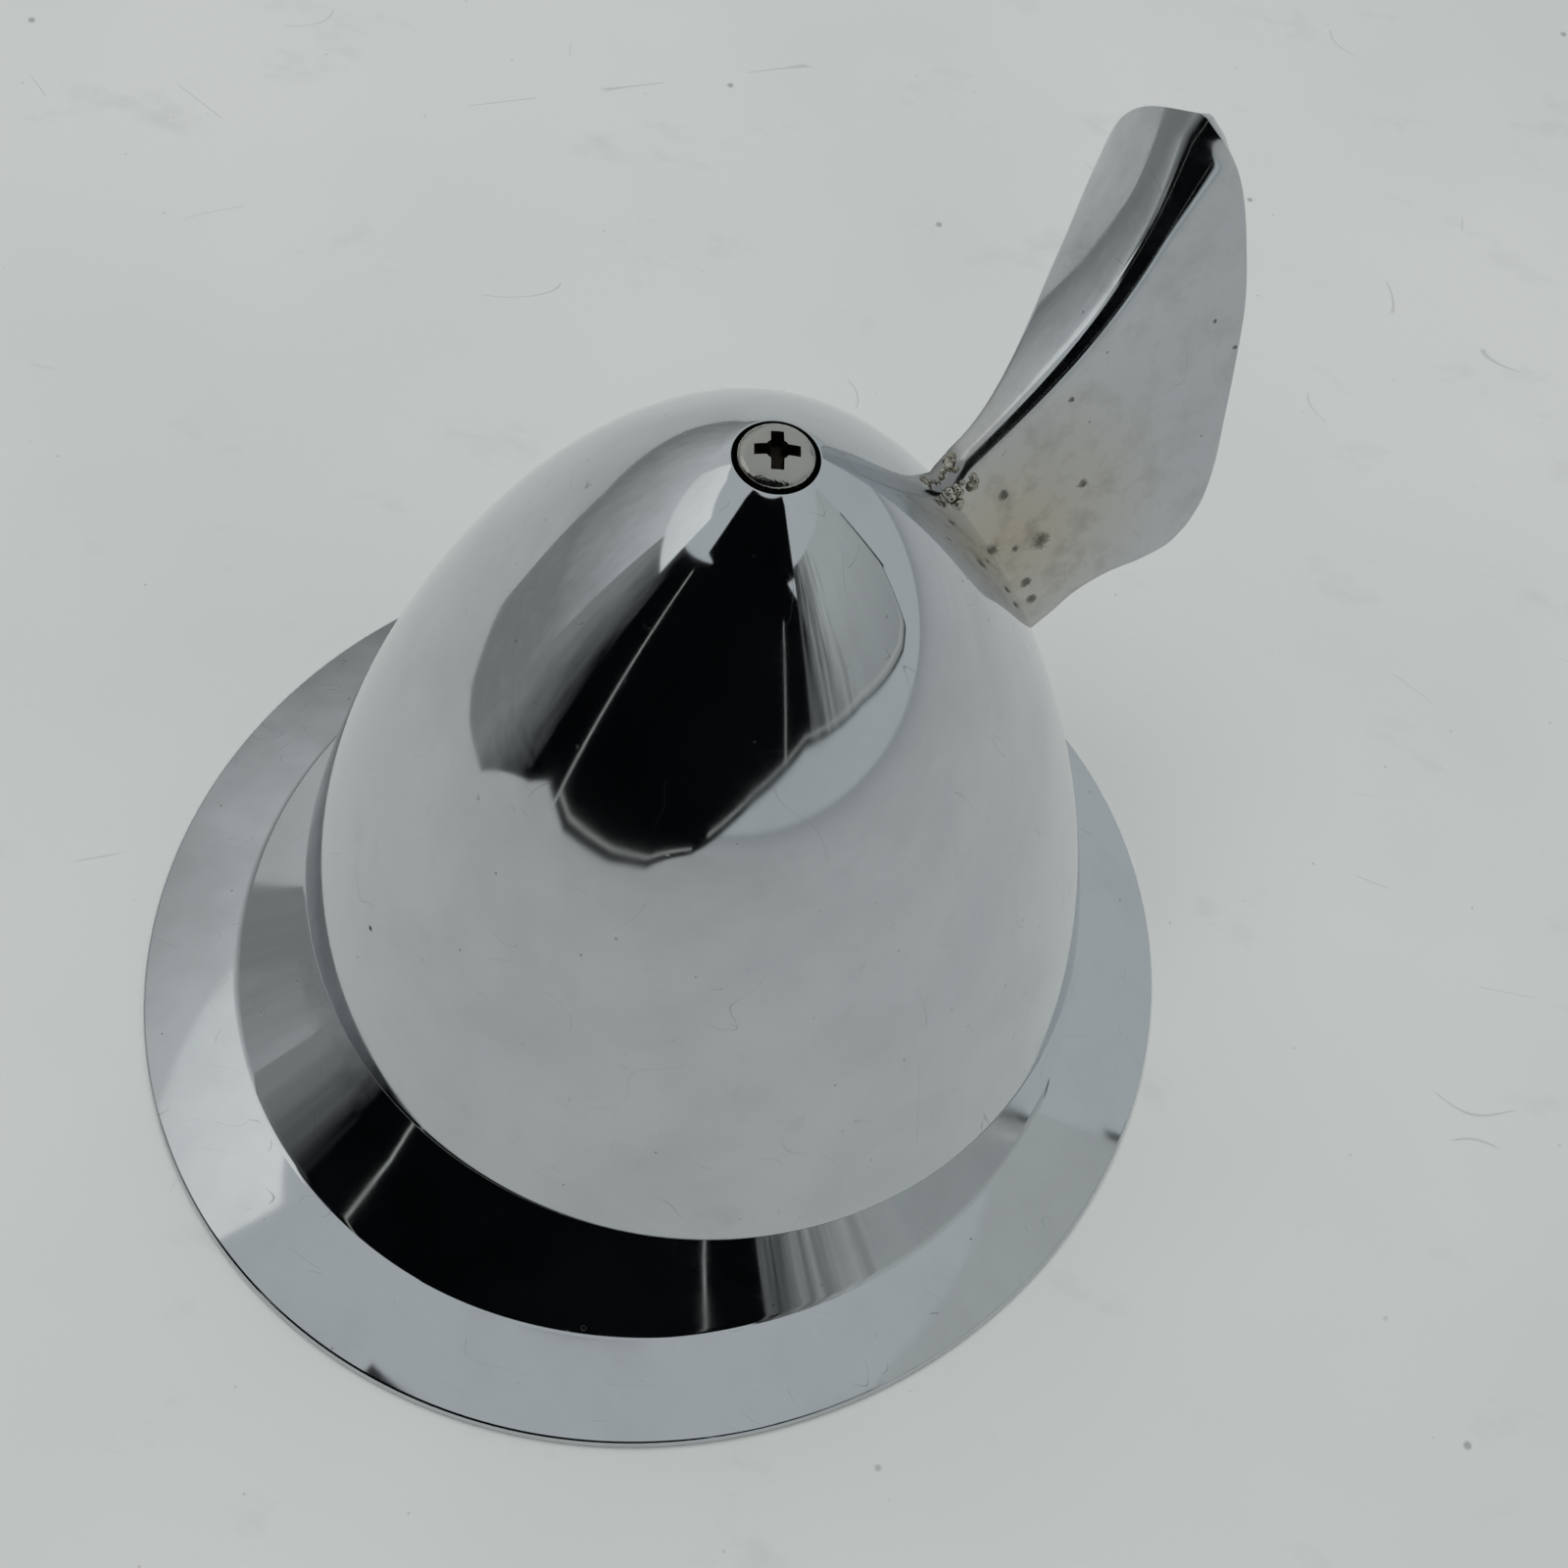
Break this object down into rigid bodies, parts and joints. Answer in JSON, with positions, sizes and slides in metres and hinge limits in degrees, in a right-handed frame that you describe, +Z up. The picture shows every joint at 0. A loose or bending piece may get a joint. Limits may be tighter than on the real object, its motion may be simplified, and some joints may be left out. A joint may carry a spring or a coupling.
{
  "type": "bicycle bell",
  "caption": "Turn-top bicycle bell: a chromed bullet-shaped gong with a thumb lever turns on a flared base dish and spins a geared striker rotor inside.",
  "frame": {"origin": "centre of the base dish's foot, on the surface the bell stands on", "axes": "+Z up the bell, parallel to the gong's spindle; -Y the side the bell is seen from; the thumb lever stands over the gong's shoulder towards +X +Y"},
  "size_m": [0.084, 0.084, 0.0821],
  "materials": {
    "chrome": "bright plated, worn, with pits and fine scratches",
    "zinc_steel": "bright zinc plated",
    "plain_steel": "turned or blanked, lightly oiled",
    "spring_steel": "drawn wire and stamped clips",
    "brass": "machine cut",
    "braze": "tarnished, plated over, pitted"
  },
  "bodies": {
    "base": {"base_dish": "chrome", "works_plate": "plain_steel", "plate_rivet_1": "plain_steel", "plate_rivet_2": "plain_steel", "plate_rivet_3": "plain_steel", "spindle_bush": "brass", "bush_nut": "zinc_steel", "bracket_nut_left": "zinc_steel", "bracket_nut_right": "zinc_steel", "idler_arbor": "plain_steel", "idler_clip": "spring_steel", "rotor_arbor": "plain_steel", "rotor_clip": "spring_steel", "stop_post_1": "plain_steel", "stop_post_2": "plain_steel", "spring_post": "plain_steel", "return_spring": "spring_steel"},
    "gong": {"gong_dome": "chrome", "thumb_lever": "chrome", "lever_braze": "braze", "apex_screw": "chrome", "apex_washer": "zinc_steel", "spindle": "plain_steel", "drive_gear": "brass", "stop_pin": "plain_steel", "thrust_washer": "brass", "spindle_clip": "spring_steel"},
    "idler": {"idler_wheel": "brass", "idler_pinion": "plain_steel"},
    "rotor": {"rotor_arm": "zinc_steel", "rotor_pinion": "plain_steel", "striker_pin_1": "plain_steel", "striker_pin_2": "plain_steel"},
    "striker_a": {"striker_1": "zinc_steel"},
    "striker_b": {"striker_2": "zinc_steel"}
  },
  "joints": [
    {"name": "gong_turn", "type": "hinge", "parent": "base", "child": "gong", "pos_m": [0.0017, 0, 0.0182], "axis": [0, 0, 1], "range_deg": [0, 60], "stiffness_Nm_per_rad": 0.04, "springref_deg": -20.05},
    {"name": "idler_spin", "type": "hinge", "parent": "base", "child": "idler", "pos_m": [-0.00298, -0.01446, 0.026], "axis": [0, 0, 1], "range_deg": [-168, 0]},
    {"name": "rotor_spin", "type": "hinge", "parent": "base", "child": "rotor", "pos_m": [0.01059, -0.0154, 0.0225], "axis": [0, 0, 1], "range_deg": [0, 403.2]},
    {"name": "striker_1_throw", "type": "slide", "parent": "rotor", "child": "striker_a", "axis": [0.866, 0.5, 0], "range_m": [0, 0.0006]},
    {"name": "striker_2_throw", "type": "slide", "parent": "rotor", "child": "striker_b", "axis": [-0.866, -0.5, 0], "range_m": [0, 0.0006]}
  ],
  "couplings": [
    {"joint": "idler_spin", "follows": "gong_turn", "ratio": -2.8},
    {"joint": "rotor_spin", "follows": "gong_turn", "ratio": 6.72}
  ]
}
